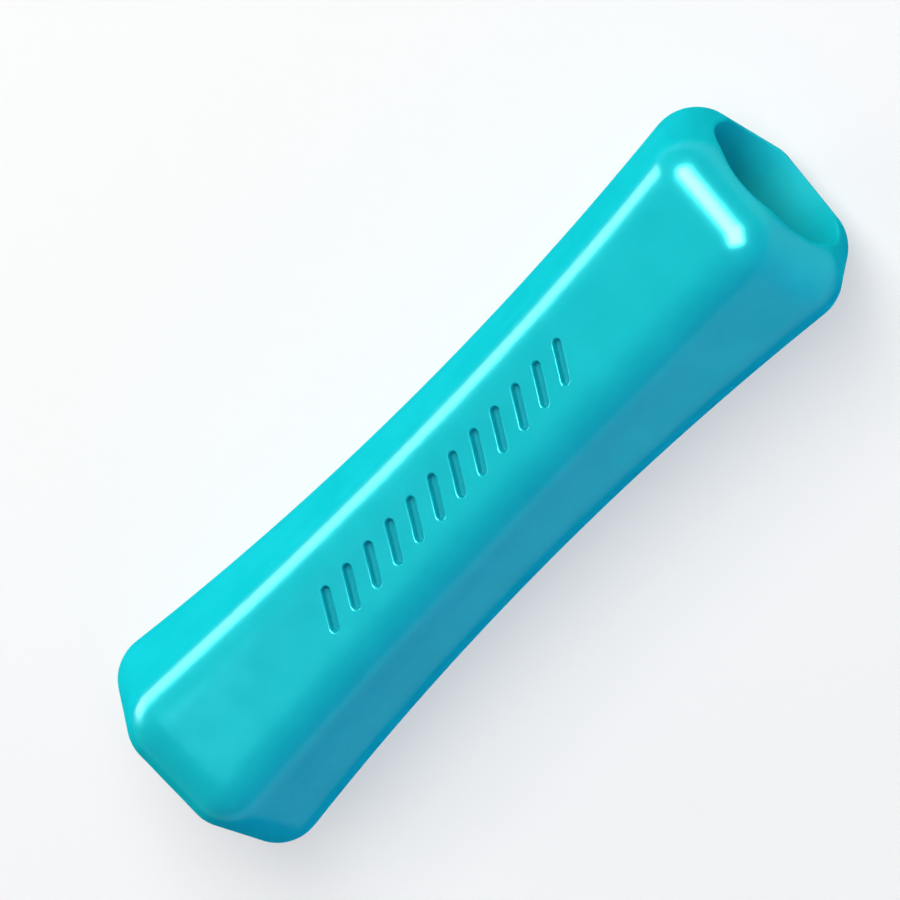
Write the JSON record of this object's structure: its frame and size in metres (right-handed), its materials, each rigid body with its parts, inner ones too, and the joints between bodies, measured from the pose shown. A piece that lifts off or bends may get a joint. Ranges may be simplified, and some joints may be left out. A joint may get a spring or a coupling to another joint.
{
  "type": "pencil grip",
  "caption": "Slip-on pencil grip: a waisted, gently twisted six-sided soft sleeve with rounded ends, a round through bore for the pencil and a row of slanted notches.",
  "frame": {"origin": "centre of the bore at mid-length", "axes": "+X along the bore, +Z out of the notched side at mid-length"},
  "size_m": [0.0422, 0.0124, 0.0118],
  "materials": {
    "turquoise_elastomer": "smooth moulded, glossy"
  },
  "bodies": {
    "root": {"grip_sleeve": "turquoise_elastomer"}
  },
  "joints": []
}
